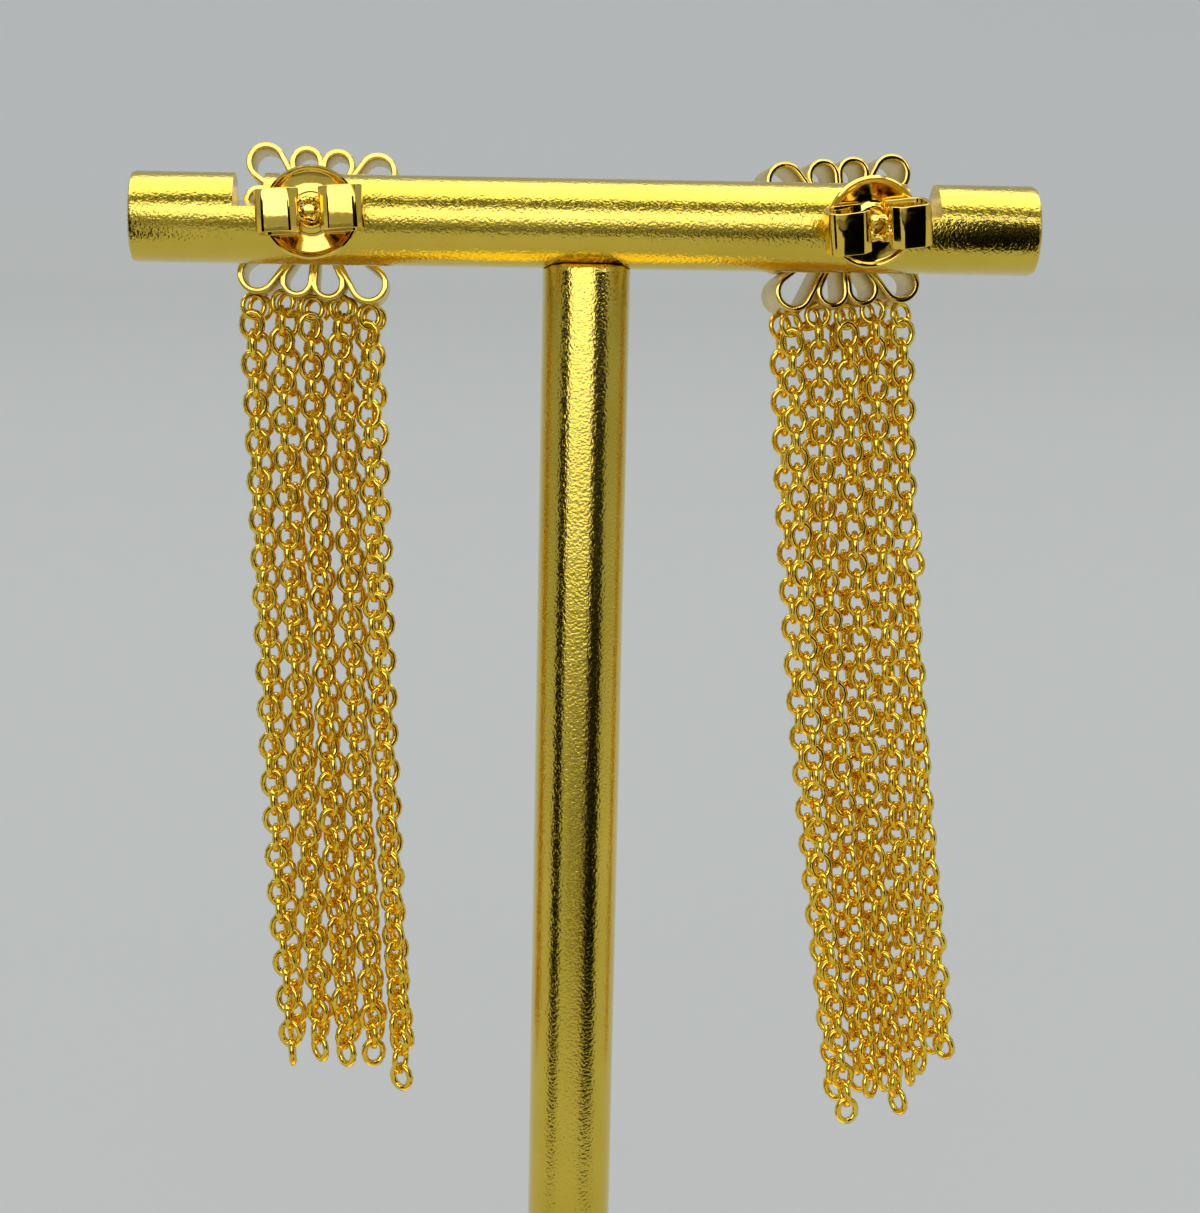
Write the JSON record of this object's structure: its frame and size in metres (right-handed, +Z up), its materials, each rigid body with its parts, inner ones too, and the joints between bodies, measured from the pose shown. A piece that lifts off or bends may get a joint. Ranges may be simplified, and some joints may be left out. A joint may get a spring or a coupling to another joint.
{
  "type": "pair of chain fringe dangle earrings on a t-bar stand",
  "caption": "Openwork rosette stud earrings with chain fringes and butterfly clutches, hung by their posts through the bar of a plain T-bar display stand.",
  "frame": {"origin": "centre of the stand's foot, on the surface that it stands on", "axes": "+Z up along the stem, +X along the bar, +Y the way the ornaments face when worn; the clutches are on the -Y side"},
  "size_m": [0.0604, 0.056, 0.1018],
  "materials": {
    "satin_gold": "fine sand-blasted satin gold plate",
    "polished_gold": "mirror-polished gold plate",
    "chain_gold": "bright gold-plated cable chain"
  },
  "bodies": {
    "stand": {"stand_foot": "satin_gold", "stand_stem": "satin_gold", "stand_bar": "satin_gold", "ornament_left": "polished_gold", "ornament_right": "polished_gold", "strand_left_rear_1": "chain_gold", "strand_left_rear_2": "chain_gold", "strand_left_rear_3": "chain_gold", "strand_left_rear_4": "chain_gold", "strand_left_rear_5": "chain_gold", "strand_left_front_1": "chain_gold", "strand_left_front_2": "chain_gold", "strand_left_front_3": "chain_gold", "strand_left_front_4": "chain_gold", "strand_left_front_5": "chain_gold", "strand_right_rear_1": "chain_gold", "strand_right_rear_2": "chain_gold", "strand_right_rear_3": "chain_gold", "strand_right_rear_4": "chain_gold", "strand_right_rear_5": "chain_gold", "strand_right_front_1": "chain_gold", "strand_right_front_2": "chain_gold", "strand_right_front_3": "chain_gold", "strand_right_front_4": "chain_gold", "strand_right_front_5": "chain_gold"},
    "nut_left": {"clutch_left": "polished_gold"},
    "nut_right": {"clutch_right": "polished_gold"}
  },
  "joints": [
    {"name": "clutch_left_slide", "type": "slide", "parent": "stand", "child": "nut_left", "axis": [-0.0086, -0.9848, 0.1736], "range_m": [0, 0.005]},
    {"name": "clutch_right_slide", "type": "slide", "parent": "stand", "child": "nut_right", "axis": [0.0944, -0.9803, 0.1736], "range_m": [0, 0.005]}
  ]
}
